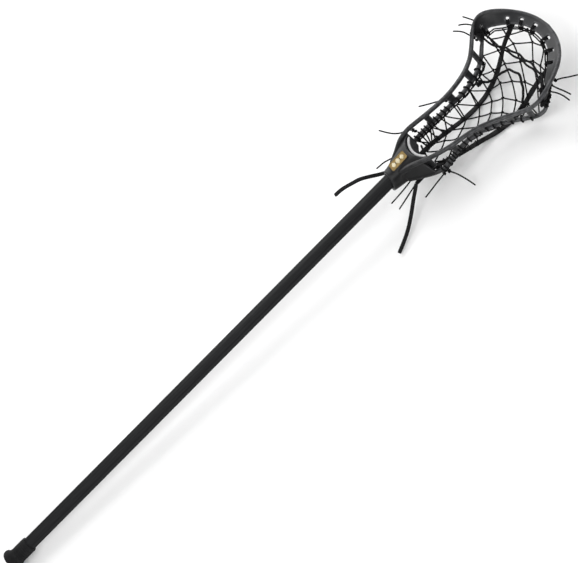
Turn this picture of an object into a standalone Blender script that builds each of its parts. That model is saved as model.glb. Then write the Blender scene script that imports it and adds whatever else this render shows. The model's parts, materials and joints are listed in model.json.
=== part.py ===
"""Lacrosse stick: an eight-sided hollow shaft with a rubber butt cap, a moulded head and its laced pocket.

The stick is modelled in its own stick frame, in millimetres: X runs from the butt to the scoop, Z is the
side that the pocket opens to, and the shaft's axis is Y = 0, Z = 0. One empty, stick_axis, scales nothing
and leans that frame so that the butt cap's rim and the underside of the pocket both rest on the ground.
"""
from math import atan2, ceil, cos, hypot, pi, radians, sin

import bmesh
import bpy
from mathutils import Matrix, Vector

MM = 0.001
GAP = 0.35                      # clearance between neighbouring pieces

# Driving dimensions, millimetres
LENGTH = 1090.0                 # butt to scoop tip
SHAFT_FLATS = 20.0              # across the flats of the eight-sided shaft
SHAFT_WALL = 1.6
SHAFT_START = 6.0
SHAFT_END = 822.0
CAP_FLANGE_RADIUS = 17.3
CAP_SIDES = 32
CAP_SLEEVE_RADIUS = 12.2
CAP_LENGTH = 41.0
COLLAR_START = 776.0
COLLAR_SLANT = 0.42             # how far the collar's front edge leans back, per unit of height
SCREW_X = 789.0
SCREW_SEAT_Z = -14.4
SCREW_SHANK_RADIUS = 1.75
SCREW_HEAD_RADIUS = 3.7
BALL_STOP_X = 868.0             # centre of the round wall behind the ball
BALL_STOP_RADIUS = 36.0
RAIL_HEIGHT = 6.5
RAIL_THICKNESS = 5.6
SCOOP_THICKNESS = 4.6
THONG_WIDTH = 7.5
THONG_THICKNESS = 3.0
LACE_RADIUS = 1.05
STRING_RADIUS = 1.35
REST_BUTT = (7.0, -CAP_FLANGE_RADIUS * cos(pi / CAP_SIDES))     # the cap's lowest point, along X and Z
REST_POCKET = (950.0, -56.52)                                   # the pocket's lowest point

# One side of the head, from the throat to the tip of the scoop: top rail and bottom rail, paired by station
TOP_RAIL = [
    (800, 10, 12.5), (815, 16.5, 15), (832, 26.5, 17), (848, 33, 14.5), (864, 36, 10), (880, 38, 5.5),
    (900, 39.5, 1.5), (920, 42.3, -2.5), (940, 48.5, -6.8), (960, 57.5, -10.8), (978, 68.5, -12),
    (992, 79, -8.5), (1004, 87, -1.5), (1014, 91.5, 5), (1024, 93.5, 10), (1035, 92, 11.5),
    (1047, 85.5, 9.5), (1059, 75, 5), (1070, 61.5, 0), (1080, 44, -4), (1087, 23, -6.5), (LENGTH, 0, -7)]
BOTTOM_RAIL = [
    (798, 14, -10), (818, 25, -16), (836, 34, -21), (850, 38.5, -23), (864, 37.5, -22), (880, 35, -20),
    (900, 34, -20.5), (920, 36, -24), (940, 41, -29.5), (960, 51, -36), (976, 62.5, -40.5),
    (990, 74, -40.5), (1002, 82.5, -34.5), (1012, 84.5, -25), (1020, 82, -15), (1028, 75, -6),
    (1037, 66, -4), (1047, 56, -4), (1056, 45.5, -4.5), (1064, 32, -5.5), (1069, 16, -6.5), (1070.5, 0, -7)]
# Openings of the wall, as spans between stations: side-wall windows, then the scoop's string holes
WINDOWS = [(2.2, 4.75), (5.25, 6.85), (7.4, 8.85), (9.35, 10.45), (10.95, 12.3)]
STRING_HOLES = [(14.05, 14.4), (17.25, 17.6), (18.6, 18.95), (19.9, 20.3)]
WALL_START = 0.8
SCOOP_START = 15.0
HOLE_ROWS_START = 12.4          # past this station the wall's middle row narrows to the string holes

# Pocket: route of one thong, from the scoop to the throat
THONG = [
    (1057, 55, -12.5), (1048, 51.5, -13.5), (1037, 48.5, -16.5), (1024, 45.5, -22.5), (1011, 42, -31),
    (1000, 39.5, -38), (985, 37.5, -47), (967, 35, -53), (950, 32, -55), (930, 29, -53), (910, 26, -48),
    (890, 24.5, -42), (868, 22.5, -35), (852, 20, -29.5), (838, 17, -26.5), (826, 15, -25.5)]
# The V-shaped shooting string and the one that crosses near the scoop, as (x, y) points over the net
V_STRING = [
    (966, 45), (976, 36), (988, 28), (1000, 19), (1008, 7), (1012, -7), (1010, -20), (1002, -31), (992, -39),
    (984, -44)]
SHOOTING_STRING = [
    (1012, 77), (1017, 51), (1022.5, 29), (1026.5, 10), (1029, -8), (1030.5, -26), (1030, -44), (1026, -62),
    (1020, -76)]


def clear_scene():
    for item in list(bpy.data.objects):
        bpy.data.objects.remove(item, do_unlink=True)


def material(name, colour, roughness, metallic=0.0):
    """One Principled BSDF material."""
    result = bpy.data.materials.new(name)
    result.use_nodes = True
    shader = result.node_tree.nodes["Principled BSDF"]
    shader.inputs["Base Color"].default_value = (*colour, 1.0)
    shader.inputs["Roughness"].default_value = roughness
    shader.inputs["Metallic"].default_value = metallic
    return result


def stick_axis():
    """The empty that leans the stick until it rests on the butt cap and the pocket."""
    (butt_x, butt_z), (pocket_x, pocket_z) = REST_BUTT, REST_POCKET
    lean = atan2(pocket_z - butt_z, pocket_x - butt_x)
    axis = bpy.data.objects.new("stick_axis", None)
    bpy.context.collection.objects.link(axis)
    axis.rotation_euler = (0.0, lean, 0.0)
    middle = LENGTH / 2
    height = (butt_x - middle) * sin(lean) - butt_z * cos(lean)
    axis.location = (0.0, 0.0, height * MM)
    return axis, middle


def place(item, axis, middle, finish):
    """Parents a piece, whose points are in the stick frame, and gives it its material."""
    item.parent = axis
    item.location = item.location - Vector((middle * MM, 0.0, 0.0))
    item.data.materials.clear()
    item.data.materials.append(finish)
    return item


def mesh_object(name, vertices, faces):
    """A mesh from points in millimetres."""
    mesh = bpy.data.meshes.new(name)
    mesh.from_pydata([Vector(v) * MM for v in vertices], [], faces)
    mesh.validate()
    build = bmesh.new()
    build.from_mesh(mesh)
    bmesh.ops.recalc_face_normals(build, faces=build.faces)
    if build.calc_volume(signed=True) < 0:
        bmesh.ops.reverse_faces(build, faces=build.faces)
    build.to_mesh(mesh)
    build.free()
    item = bpy.data.objects.new(name, mesh)
    bpy.context.collection.objects.link(item)
    return item


def smooth(item, angle=40):
    item.data.shade_smooth()
    item.data.set_sharp_from_angle(angle=radians(angle))
    return item


def spline_point(points, station):
    """Point of a Catmull-Rom curve through the list, at a station counted in points."""
    last = len(points) - 1
    index = min(int(station), last - 1)
    part = station - index
    before, start, end, after = (Vector(points[max(0, min(last, index + k))]) for k in (-1, 0, 1, 2))
    return 0.5 * (2 * start + (end - before) * part + (2 * before - 5 * start + 4 * end - after) * part ** 2
                  + (3 * start - before - 3 * end + after) * part ** 3)


def spline(points, per_span):
    """Points read from the smooth curve, per_span of them between two route points."""
    count = (len(points) - 1) * per_span
    return [spline_point(points, k / per_span) for k in range(count + 1)]


def mirrored(points):
    return [(x, -y, z) for x, y, z in points]


def octagon(flats, x):
    """Eight corners of the shaft's section at X, with flats to the top, bottom and sides."""
    corner = flats / 2 / cos(pi / 8)
    turns = [pi / 8 + k * pi / 4 for k in range(8)]
    return [(x, corner * cos(turn), corner * sin(turn)) for turn in turns]


def ring_faces(rings, size, closed_ends=True):
    """Quads between neighbouring rings of a loft, with an n-gon at each end."""
    faces = []
    for ring in range(rings - 1):
        for k in range(size):
            after = (k + 1) % size
            faces.append((ring * size + k, ring * size + after, (ring + 1) * size + after, (ring + 1) * size + k))
    if closed_ends:
        faces.append(tuple(range(size)))
        faces.append(tuple((rings - 1) * size + k for k in range(size)))
    return faces


def octagon_bar(name, flats, start, end):
    points = octagon(flats, start) + octagon(flats, end)
    return mesh_object(name, points, ring_faces(2, 8))


def hide_cutter(item):
    item.hide_render = True
    item.display_type = "WIRE"


def boolean(item, other, operation):
    """An exact Boolean modifier with a piece that only shapes this one."""
    cut = item.modifiers.new(operation.lower(), "BOOLEAN")
    cut.operation = operation
    cut.solver = "EXACT"
    cut.object = other
    hide_cutter(other)


def turned(name, profile, sides):
    """A solid of revolution about X, from (x, radius) points that start and end on the axis."""
    vertices = []
    for x, radius in profile[1:-1]:
        for k in range(sides):
            turn = 2 * pi * (k + 0.5) / sides
            vertices.append((x, radius * cos(turn), radius * sin(turn)))
    rings = len(profile) - 2
    faces = ring_faces(rings, sides, closed_ends=False)
    for end, ring in ((0, 0), (-1, rings - 1)):
        tip = len(vertices)
        vertices.append((profile[end][0], 0.0, 0.0))
        for k in range(sides):
            faces.append((tip, ring * sides + k, ring * sides + (k + 1) % sides))
    return mesh_object(name, vertices, faces)


def upright_cylinder(name, x, y, radius, low, high, sides):
    vertices = []
    for z in (low, high):
        for k in range(sides):
            turn = 2 * pi * (k + 0.5) / sides
            vertices.append((x + radius * cos(turn), y + radius * sin(turn), z))
    return mesh_object(name, vertices, ring_faces(2, sides))


# --- shaft, cap and screw ---

def make_shaft(place_piece):
    """Hollow eight-sided tube with the screw's pilot hole near its head end."""
    outer = octagon(SHAFT_FLATS, SHAFT_START) + octagon(SHAFT_FLATS, SHAFT_END)
    inner_flats = SHAFT_FLATS - 2 * SHAFT_WALL
    inner = octagon(inner_flats, SHAFT_START) + octagon(inner_flats, SHAFT_END)
    faces = ring_faces(2, 8, closed_ends=False)
    faces += [tuple(16 + k for k in face) for face in faces]
    for end in (0, 8):
        for k in range(8):
            after = (k + 1) % 8
            faces.append((end + k, end + after, 16 + end + after, 16 + end + k))
    shaft = mesh_object("shaft", outer + inner, faces)
    hole = upright_cylinder("pilot_hole", SCREW_X, 0.0, SCREW_SHANK_RADIUS + GAP, -SHAFT_FLATS, 0.0, 12)
    place_piece(hole, "shaft")
    boolean(shaft, hole, "DIFFERENCE")
    place_piece(shaft, "shaft")


def make_butt_cap(place_piece):
    """Rubber cap: a round flange, a tapered sleeve, and a blind socket for the shaft."""
    rim = CAP_FLANGE_RADIUS
    sleeve = CAP_SLEEVE_RADIUS
    profile = [(0.0, 0.0), (0.0, rim - 4.5), (1.2, rim - 2.0), (3.6, rim - 0.4), (7.0, rim), (10.2, rim - 1.0),
               (12.6, rim - 3.6), (14.5, sleeve + 0.3), (24.0, sleeve + 0.1), (CAP_LENGTH - 1.0, sleeve - 0.2),
               (CAP_LENGTH, sleeve - 0.7), (CAP_LENGTH, 0.0)]
    cap = turned("butt_cap", profile, CAP_SIDES)
    socket = octagon_bar("cap_socket", SHAFT_FLATS + 2 * GAP, SHAFT_START - GAP, CAP_LENGTH + 5.0)
    place_piece(socket, "rubber")
    boolean(cap, socket, "DIFFERENCE")
    place_piece(smooth(cap), "rubber")


def make_head_screw(place_piece):
    """Pan-head screw that holds the throat to the shaft from below, with a driver slot."""
    seat = SCREW_SEAT_Z - GAP
    head_edge = seat - 1.5
    head_end = seat - 2.4
    tip = -SHAFT_FLATS / 2 + SHAFT_WALL + 3.0
    rings = [(head_end, SCREW_HEAD_RADIUS - 1.0), (head_edge, SCREW_HEAD_RADIUS), (seat, SCREW_HEAD_RADIUS),
             (seat, SCREW_SHANK_RADIUS), (tip - 1.5, SCREW_SHANK_RADIUS), (tip, 0.5)]
    sides = 20
    vertices = []
    for z, radius in rings:
        for k in range(sides):
            turn = 2 * pi * (k + 0.5) / sides
            vertices.append((SCREW_X + radius * cos(turn), radius * sin(turn), z))
    screw = mesh_object("head_screw", vertices, ring_faces(len(rings), sides))
    half, slot = 0.55, []
    for z in (head_end - 2.0, head_end + 1.1):
        slot += [(SCREW_X - 6, -half, z), (SCREW_X + 6, -half, z), (SCREW_X + 6, half, z), (SCREW_X - 6, half, z)]
    cutter = mesh_object("screw_slot", slot, ring_faces(2, 4))
    place_piece(cutter, "steel")
    boolean(screw, cutter, "DIFFERENCE")
    place_piece(smooth(screw), "steel")


# --- head ---

def wall_rows(station):
    """The two rows between the wall's edges, as fractions of its height from the bottom."""
    top = spline_point(TOP_RAIL, station)
    bottom = spline_point(BOTTOM_RAIL, station)
    height = (top - bottom).length
    scoop = min(max((station - HOLE_ROWS_START) / 1.4, 0.0), 1.0)
    low = (RAIL_HEIGHT / height) * (1 - scoop) + 0.24 * scoop
    high = (1 - RAIL_HEIGHT / height) * (1 - scoop) + 0.50 * scoop
    return (0.0, low, high, 1.0)


def wall_stations():
    """Stations of the wall's columns: every opening's edges, and enough between them for the curve."""
    last = float(len(TOP_RAIL) - 1)
    edges = sorted({WALL_START, last} | {edge for span in WINDOWS + STRING_HOLES for edge in span})
    stations = [edges[0]]
    for start, end in zip(edges, edges[1:]):
        steps = max(1, ceil((end - start) / 0.62))
        stations += [start + (end - start) * k / steps for k in range(1, steps + 1)]
    return stations


def in_opening(station):
    return any(start < station < end for start, end in WINDOWS + STRING_HOLES)


def wall_column(station, side):
    """Outer and inner points of one column, four of each, from the bottom rail up."""
    step = 0.02
    last = len(TOP_RAIL) - 1
    before, after = max(0.0, station - step), min(float(last), station + step)
    along = spline_point(TOP_RAIL, after) + spline_point(BOTTOM_RAIL, after)
    along -= spline_point(TOP_RAIL, before) + spline_point(BOTTOM_RAIL, before)
    if station >= last:
        along = Vector((0.0, -1.0, 0.0))
    top, bottom = spline_point(TOP_RAIL, station), spline_point(BOTTOM_RAIL, station)
    outward = (top - bottom).cross(along).normalized()
    scoop = min(max((station - SCOOP_START + 2.0) / 3.0, 0.0), 1.0)
    half = (RAIL_THICKNESS * (1 - scoop) + SCOOP_THICKNESS * scoop) / 2
    outer, inner = [], []
    for row in wall_rows(station):
        middle = bottom.lerp(top, row)
        for points, sign in ((outer, 1), (inner, -1)):
            point = middle + outward * half * sign
            points.append((point.x, point.y * side, point.z))
    return outer, inner


def make_wall():
    """Both side walls and the scoop as one band with its windows and string holes."""
    stations = wall_stations()
    columns = [(station, 1) for station in stations] + [(station, -1) for station in reversed(stations[:-1])]
    vertices = []
    for station, side in columns:
        outer, inner = wall_column(station, side)
        vertices += outer + inner
    solid = {}
    for index in range(len(columns) - 1):
        middle = (columns[index][0] + columns[index + 1][0]) / 2
        for row in range(3):
            solid[index, row] = row != 1 or not in_opening(middle)

    def corner(index, row, inner):
        return index * 8 + inner * 4 + row

    faces = []
    for (index, row), kept in solid.items():
        if not kept:
            continue
        for inner in (0, 1):
            faces.append((corner(index, row, inner), corner(index + 1, row, inner),
                          corner(index + 1, row + 1, inner), corner(index, row + 1, inner)))
        rims = [((index, row - 1), (index, row), (index + 1, row)),
                ((index, row + 1), (index, row + 1), (index + 1, row + 1)),
                ((index - 1, row), (index, row), (index, row + 1)),
                ((index + 1, row), (index + 1, row), (index + 1, row + 1))]
        for neighbour, start, end in rims:
            if not solid.get(neighbour, False):
                faces.append((corner(*start, 0), corner(*end, 0), corner(*end, 1), corner(*start, 1)))
    return mesh_object("head_wall", vertices, faces)


def rounded_section(x, half_width, top, bottom, power, slant=0.0, sides=28):
    """A closed section between an ellipse (power 2) and a rectangle (high power), leaning along X by its height."""
    middle, half = (top + bottom) / 2, (top - bottom) / 2
    points = []
    for k in range(sides):
        turn = 2 * pi * (k + 0.5) / sides
        across, up = cos(turn), sin(turn)
        rise = half * abs(up) ** (2 / power) * (1 if up > 0 else -1)
        width = half_width * abs(across) ** (2 / power) * (1 if across > 0 else -1)
        points.append((x + slant * (rise + half), width, middle + rise))
    return points


def make_head(place_piece):
    """The moulded head: the throat's solid joined to the wall, with the socket, ball wall and screw hole cut."""
    slant = COLLAR_SLANT
    sections = [(COLLAR_START, 13.6, 13.4, -13.6, 2.3, slant), (COLLAR_START + 1.6, 14.4, 14.2, -14.4, 2.3, slant),
                (COLLAR_START + 6, 15.0, 14.6, -15.2, 2.4, slant), (796, 17.0, 15.1, -16.4, 2.6, slant / 3),
                (808, 20.2, 15.6, -17.4, 2.8, 0.0), (820, 25.0, 16.2, -18.8, 3.0, 0.0),
                (834, 31.0, 16.4, -20.4, 3.2, 0.0), (846, 35.5, 14.8, -21.8, 3.4, 0.0),
                (856, 37.6, 11.5, -22.6, 3.4, 0.0)]
    vertices = []
    for x, half_width, top, bottom, power, lean in sections:
        vertices += rounded_section(x, half_width, top, bottom, power, lean)
    head = mesh_object("head_frame", vertices, ring_faces(len(sections), 28))
    wall = make_wall()
    socket = octagon_bar("shaft_socket", SHAFT_FLATS + 2 * GAP, COLLAR_START - 5.0, SHAFT_END + GAP)
    ball_wall = upright_cylinder("ball_wall", BALL_STOP_X, 0.0, BALL_STOP_RADIUS, -60.0, 60.0, 40)
    counterbore = upright_cylinder("counterbore", SCREW_X, 0.0, SCREW_HEAD_RADIUS + 0.8, -30.0, SCREW_SEAT_Z, 20)
    screw_hole = upright_cylinder("screw_hole", SCREW_X, 0.0, SCREW_SHANK_RADIUS + GAP, -30.0, 0.0, 12)
    for piece, operation in ((wall, "UNION"), (socket, "DIFFERENCE"), (ball_wall, "DIFFERENCE"),
                             (counterbore, "DIFFERENCE"), (screw_hole, "DIFFERENCE")):
        place_piece(piece, "head_plastic")
        boolean(head, piece, operation)
    place_piece(smooth(head, 30), "head_plastic")


def plate_over(name, outline, low, high):
    """A plate with the outline's (x, y) points, between two heights given as functions of x and y."""
    count = len(outline)
    vertices = [(x, y, low(x, y)) for x, y in outline] + [(x, y, high(x, y)) for x, y in outline]
    return mesh_object(name, vertices, ring_faces(2, count))


def make_badge(place_piece):
    """Plain metal plate that lies along the throat's sloping top face."""
    x_start, x_end, half = 799.5, 823.5, 5.2
    outline = []
    for cx, cy, first in ((x_end, half, 0), (x_start, half, 90), (x_start, -half, 180), (x_end, -half, 270)):
        for k in range(5):
            turn = radians(first + k * 22.5)
            outline.append((cx + 2.5 * cos(turn), cy + 2.5 * sin(turn)))

    def low(x, y):
        return 15.3 + 0.043 * (x - 796.0) + GAP

    def high(x, y):
        return low(x, y) + 0.9

    place_piece(plate_over("throat_badge", outline, low, high), "gold")


def make_ball_stop(place_piece):
    """Foam pad on the round wall that the ball rests against."""
    inner = BALL_STOP_RADIUS - GAP
    thickness, reach, low, high = 4.5, 46, -16.0, 11.0
    steps = 14
    vertices = []
    for radius, z in ((inner, low), (inner - thickness, low), (inner - thickness, high), (inner, high)):
        for k in range(steps + 1):
            turn = radians(180 - reach + 2 * reach * k / steps)
            vertices.append((BALL_STOP_X + radius * cos(turn), radius * sin(turn), z))
    width = steps + 1
    faces = []
    for row in range(4):
        after = (row + 1) % 4
        for k in range(steps):
            faces.append((row * width + k, row * width + k + 1, after * width + k + 1, after * width + k))
    for k in (0, steps):
        faces.append(tuple(row * width + k for row in range(4)))
    place_piece(smooth(mesh_object("ball_stop", vertices, faces)), "foam")


# --- lacing ---

def strip(name, route, width, thickness, flat):
    """A flat strap swept along its route; flat(k) is the direction across its width there."""
    vertices = []
    for k, point in enumerate(route):
        ahead = route[min(k + 1, len(route) - 1)] - route[max(k - 1, 0)]
        side = flat(k)
        side = (side - ahead * (side.dot(ahead) / ahead.length_squared)).normalized()
        up = ahead.cross(side).normalized()
        for across, rise in ((-0.5, -0.5), (0.5, -0.5), (0.5, 0.5), (-0.5, 0.5)):
            vertices.append(point + side * width * across + up * thickness * rise)
    return mesh_object(name, vertices, ring_faces(len(route), 4))


def tube(name, route, radius, resolution):
    """A round cord as a curve with filled ends."""
    curve = bpy.data.curves.new(name, "CURVE")
    curve.dimensions = "3D"
    curve.bevel_depth = radius * MM
    curve.bevel_resolution = resolution
    curve.use_fill_caps = True
    line = curve.splines.new("POLY")
    line.points.add(len(route) - 1)
    for point, place_at in zip(line.points, route):
        point.co = (*(Vector(place_at) * MM), 1.0)
    item = bpy.data.objects.new(name, curve)
    bpy.context.collection.objects.link(item)
    return item


def make_thongs(place_piece):
    for side, points in (("left", THONG), ("right", mirrored(THONG))):
        route = spline(points, 2)
        strap = strip(side + "_thong", route, THONG_WIDTH, THONG_THICKNESS, lambda k: Vector((0.0, 1.0, 0.0)))
        place_piece(strap, "thong")


def rail_at(points, x, first=2, last=14):
    """The rail's point at X, in the stretch where X grows along it."""
    low, high = float(first), float(last)
    for _ in range(40):
        middle = (low + high) / 2
        if spline_point(points, middle).x < x:
            low = middle
        else:
            high = middle
    return spline_point(points, low)


def thong_at(x):
    """Height and half spacing of the thongs at X."""
    low, high = 0.0, float(len(THONG) - 1)
    for _ in range(40):
        middle = (low + high) / 2
        if spline_point(THONG, middle).x > x:
            low = middle
        else:
            high = middle
    point = spline_point(THONG, low)
    return point.y, point.z


def pocket_height(x, y):
    """Height of the lacing's surface: level between the thongs, then rising to the bottom rail."""
    spread, depth = thong_at(min(x, 1048.0))
    rail = rail_at(BOTTOM_RAIL, min(x, 1026.0))
    if abs(y) <= spread:
        return depth
    part = min((abs(y) - spread) / max(rail.y - spread, 1.0), 1.0)
    return depth + (rail.z - RAIL_HEIGHT / 2 - depth) * part ** 1.3


def zigzag(x, start_y, end_y, steps, reach, lift):
    """One row of the net: a wave across the pocket about the line X = x."""
    row = []
    for k in range(steps + 1):
        y = start_y + (end_y - start_y) * k / steps
        offset = reach if k % 2 else -reach
        row.append((x + offset, y, pocket_height(x + offset, y) + lift))
    return row


def make_cross_lace(place_piece):
    """The diamond net: one lace that crosses the pocket row by row, above the thongs."""
    lift = THONG_THICKNESS / 2 + LACE_RADIUS + 3 * GAP
    near = 2 * LACE_RADIUS + GAP
    rows, x, side = [], 853.0, 1
    while x < 1046.0:
        pitch = 17.0 + (x - 853.0) * 0.045
        reach = (pitch - near) / 2
        spread, _ = thong_at(x)
        if x < 975:
            half = spread + THONG_WIDTH / 2 + 2.0
            steps = 4
        else:
            edge = rail_at(BOTTOM_RAIL, min(x, 1012.0)).y - RAIL_THICKNESS / 2 - 4.0
            half = min(edge, 74.0) if x < 1020 else 62.0 - (x - 1020.0) * 0.7
            steps = 8 if x < 1020 else 6
        wave = reach if len(rows) % 2 else -reach
        rows.append(zigzag(x, -half * side, half * side, steps, -wave, lift))
        side = -side
        x += pitch
    route = []
    for row in rows:
        route += row
    dense = []
    for start, end in zip(route, route[1:]):
        start, end = Vector(start), Vector(end)
        steps = max(1, round((end - start).length / 16.0))
        for k in range(steps):
            point = start.lerp(end, k / steps)
            dense.append((point.x, point.y, max(point.z, pocket_height(point.x, point.y) + lift)))
    dense.append(route[-1])
    place_piece(tube("cross_lace", dense, LACE_RADIUS, 1), "lace")


def make_sidewall_laces(place_piece):
    """The lace on each side that hangs the thong from the bottom rail."""
    for name, side in (("left_sidewall_lace", 1), ("right_sidewall_lace", -1)):
        route = []
        for k in range(17):
            x = 856.0 + k * 8.0
            spread, depth = thong_at(x)
            rail = rail_at(BOTTOM_RAIL, x)
            below_rail = (x, rail.y * side, rail.z - RAIL_HEIGHT / 2 - LACE_RADIUS - 0.6)
            beside_thong = (x, (spread + THONG_WIDTH / 2 + LACE_RADIUS + GAP) * side, depth - 0.5)
            route.append(below_rail if k % 2 else beside_thong)
        place_piece(tube(name, route, LACE_RADIUS, 1), "lace")


def make_top_string(place_piece):
    """The string along the scoop that the net and the thongs hang from."""
    route = []
    for station in (14.6, 15.2, 16.0, 16.8, 17.6, 18.4, 19.2, 20.1, 21.0):
        bottom = spline_point(BOTTOM_RAIL, station)
        top = spline_point(TOP_RAIL, station)
        inward = (bottom - top).normalized()
        point = bottom + inward * 3.0
        route.append((point.x, point.y, point.z - 1.2))
    route += [(x, -y, z) for x, y, z in reversed(route[:-1])]
    place_piece(tube("top_string", route, LACE_RADIUS, 1), "lace")


def make_throat_string(place_piece):
    """The cord that gathers the ends of the thongs under the throat."""
    points = [(846, 31.0, -28.0), (843, 22.0, -31.5), (841, 10.0, -31.0), (840, 0.0, -30.5)]
    route = spline(points + mirrored(points[-2::-1]), 2)
    place_piece(tube("throat_string", route, STRING_RADIUS, 1), "lace")


def make_shooting_strings(place_piece):
    """The pair that crosses near the scoop and the V-shaped one behind it, all laid over the net."""
    lift = THONG_THICKNESS / 2 + 2 * LACE_RADIUS + STRING_RADIUS + 3 * GAP + 1.6
    spacing = 2 * STRING_RADIUS + 4 * GAP
    for name, ahead in (("shooting_string_front", spacing), ("shooting_string_rear", 0.0)):
        route = []
        for x, y, _ in spline([(x, y, 0.0) for x, y in SHOOTING_STRING], 2):
            rise = 9.0 * max(abs(y) - 50.0, 0.0) / 27.0
            route.append((x + ahead, y, pocket_height(x + ahead, y) + lift + rise))
        place_piece(tube(name, route, STRING_RADIUS, 1), "string")
    lift += 1.6
    route = [(x, y, pocket_height(x, y) + lift) for x, y, _ in spline([(x, y, 0.0) for x, y in V_STRING], 2)]
    place_piece(tube("shooting_string_v", route, STRING_RADIUS, 1), "string")


# --- free tails: hand-chosen routes, millimetres, from the knot outwards ---
LACE_TAILS = {
    "tail_scoop_left_a": [(1004, 93, -16), (1002, 94, -8), (1000, 96.5, 0), (996, 101, 5), (989.5, 107.5, 8)],
    "tail_scoop_left_b": [(1016, 97.5, -10), (1014, 98.5, -1), (1010, 99, 7), (1005.5, 99, 13), (1001, 98.5, 18)],
    "tail_scoop_left_c": [(1024, 98.5, -12), (1022, 99.5, -3), (1019, 101, 6), (1016, 104, 12), (1013.5, 107.5, 15)],
    "tail_wall_left_a": [(853, 42.5, -7), (848, 43, 1), (839, 42.5, 7), (829.5, 49, 13), (819.5, 66, 17.5)],
    "tail_wall_left_b": [(912, 47, -13), (905, 48, -7), (894, 51.5, -1.5), (882, 59.5, 0.5)],
    "tail_badge_side": [(812, 24.2, 0), (806.5, 24.5, 2.5), (799, 25, 5.5), (792, 25.5, 7.5), (780.5, 26.5, 7.5)],
    "tail_throat_a": [(804, -8, -22), (790, -10, -22.5), (775, -12, -22), (761, -14, -21)],
    "tail_throat_b": [(810, -16, -24), (796, -20, -24), (780, -24.5, -24), (764, -29, -24)],
    "tail_wall_right_low": [(843, -38, -28), (829, -39.5, -28.5), (815, -41.5, -29), (802, -44, -28.5)],
    "tail_wall_right_drop": [(852, -42, -29), (857, -53, -32), (861, -66, -38), (864, -79.5, -44)],
    "tail_scoop_right_a": [(1043, -73, -15), (1050, -78.5, -14), (1058, -85, -15), (1069, -91.5, -18)],
    "tail_scoop_right_b": [(1026, -77, -17.5), (1031.5, -85, -21), (1035, -94, -25), (1036.5, -104, -29)],
    "tail_scoop_right_c": [(1034, -75, -14.5), (1036.5, -84, -16), (1040, -93, -18.5), (1043.5, -104, -22)],
}
THONG_TAILS = {
    "tail_thong_left": [(803, 24, -16), (795, 23.5, -13), (786, 24.5, -10), (776, 27.5, -5), (766, 30.5, 1.5),
                        (753.5, 34.5, 8), (741, 38.5, 9.5), (725, 45, 8.5), (711, 49, 5.5)],
    "tail_thong_right": [(806, -21.5, -19.5), (799, -26, -22.5), (788, -31.5, -27.5), (768, -45, -34.5),
                         (747.5, -58.5, -38.5), (722, -70.5, -42)],
}
TAIL_RADIUS = 1.0
THONG_TAIL_WIDTH = 5.6
THONG_TAIL_THICKNESS = 2.4


def make_tails(place_piece):
    for name, points in LACE_TAILS.items():
        place_piece(tube(name, spline(points, 3), TAIL_RADIUS, 2), "string")
    for name, points in THONG_TAILS.items():
        route = spline(points, 3)
        strap = strip(name, route, THONG_TAIL_WIDTH, THONG_TAIL_THICKNESS, lambda k: Vector((0.35, 0.75, 0.4)))
        place_piece(strap, "thong")


def main():
    clear_scene()
    axis, middle = stick_axis()
    finishes = {
        "shaft": material("shaft", (0.030, 0.031, 0.033), 0.42, 0.15),
        "rubber": material("rubber", (0.028, 0.028, 0.030), 0.70),
        "head_plastic": material("head_plastic", (0.035, 0.036, 0.038), 0.36),
        "steel": material("steel", (0.30, 0.30, 0.31), 0.35, 1.0),
        "gold": material("gold", (0.62, 0.44, 0.16), 0.38, 0.9),
        "foam": material("foam", (0.09, 0.09, 0.095), 0.9),
        "thong": material("thong", (0.018, 0.018, 0.019), 0.75),
        "lace": material("lace", (0.015, 0.015, 0.016), 0.65),
        "string": material("string", (0.017, 0.017, 0.018), 0.65),
    }

    def place_piece(item, finish):
        return place(item, axis, middle, finishes[finish])

    for make in (make_shaft, make_butt_cap, make_head_screw, make_head, make_badge, make_ball_stop, make_thongs,
                 make_cross_lace, make_sidewall_laces, make_top_string, make_throat_string,
                 make_shooting_strings, make_tails):
        make(place_piece)


main()
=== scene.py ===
import json
from math import ceil, cos, pi, radians, sin

import bmesh
import bpy
from mathutils import Matrix, Vector, noise


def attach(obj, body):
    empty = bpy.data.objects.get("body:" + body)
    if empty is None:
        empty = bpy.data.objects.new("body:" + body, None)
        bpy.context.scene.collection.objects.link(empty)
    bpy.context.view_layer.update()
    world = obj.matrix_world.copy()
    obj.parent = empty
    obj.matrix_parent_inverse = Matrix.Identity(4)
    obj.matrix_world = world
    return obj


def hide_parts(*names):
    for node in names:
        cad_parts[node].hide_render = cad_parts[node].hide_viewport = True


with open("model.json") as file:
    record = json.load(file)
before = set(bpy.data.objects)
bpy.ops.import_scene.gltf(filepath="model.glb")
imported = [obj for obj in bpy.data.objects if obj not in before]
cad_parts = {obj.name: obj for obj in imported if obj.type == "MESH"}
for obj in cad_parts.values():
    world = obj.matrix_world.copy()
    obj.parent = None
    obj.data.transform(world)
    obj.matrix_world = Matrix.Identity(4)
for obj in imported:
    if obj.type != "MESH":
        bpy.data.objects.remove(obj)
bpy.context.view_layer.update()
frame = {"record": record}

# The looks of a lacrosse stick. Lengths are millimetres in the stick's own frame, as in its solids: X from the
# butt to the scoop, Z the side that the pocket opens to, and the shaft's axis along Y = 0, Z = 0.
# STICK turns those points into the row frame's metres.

MM = 0.001
BUTT = frame["record"]["mounts"][0]
ALONG = -Vector(BUTT["axis"])
UP = ALONG.cross(Vector((0.0, 1.0, 0.0)))
TURN = Matrix((ALONG, (0.0, 1.0, 0.0), UP)).transposed().to_4x4()
STICK_METRES = Matrix.Translation(Vector(BUTT["pos_m"])) @ TURN
STICK = STICK_METRES @ Matrix.Scale(MM, 4)

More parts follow.
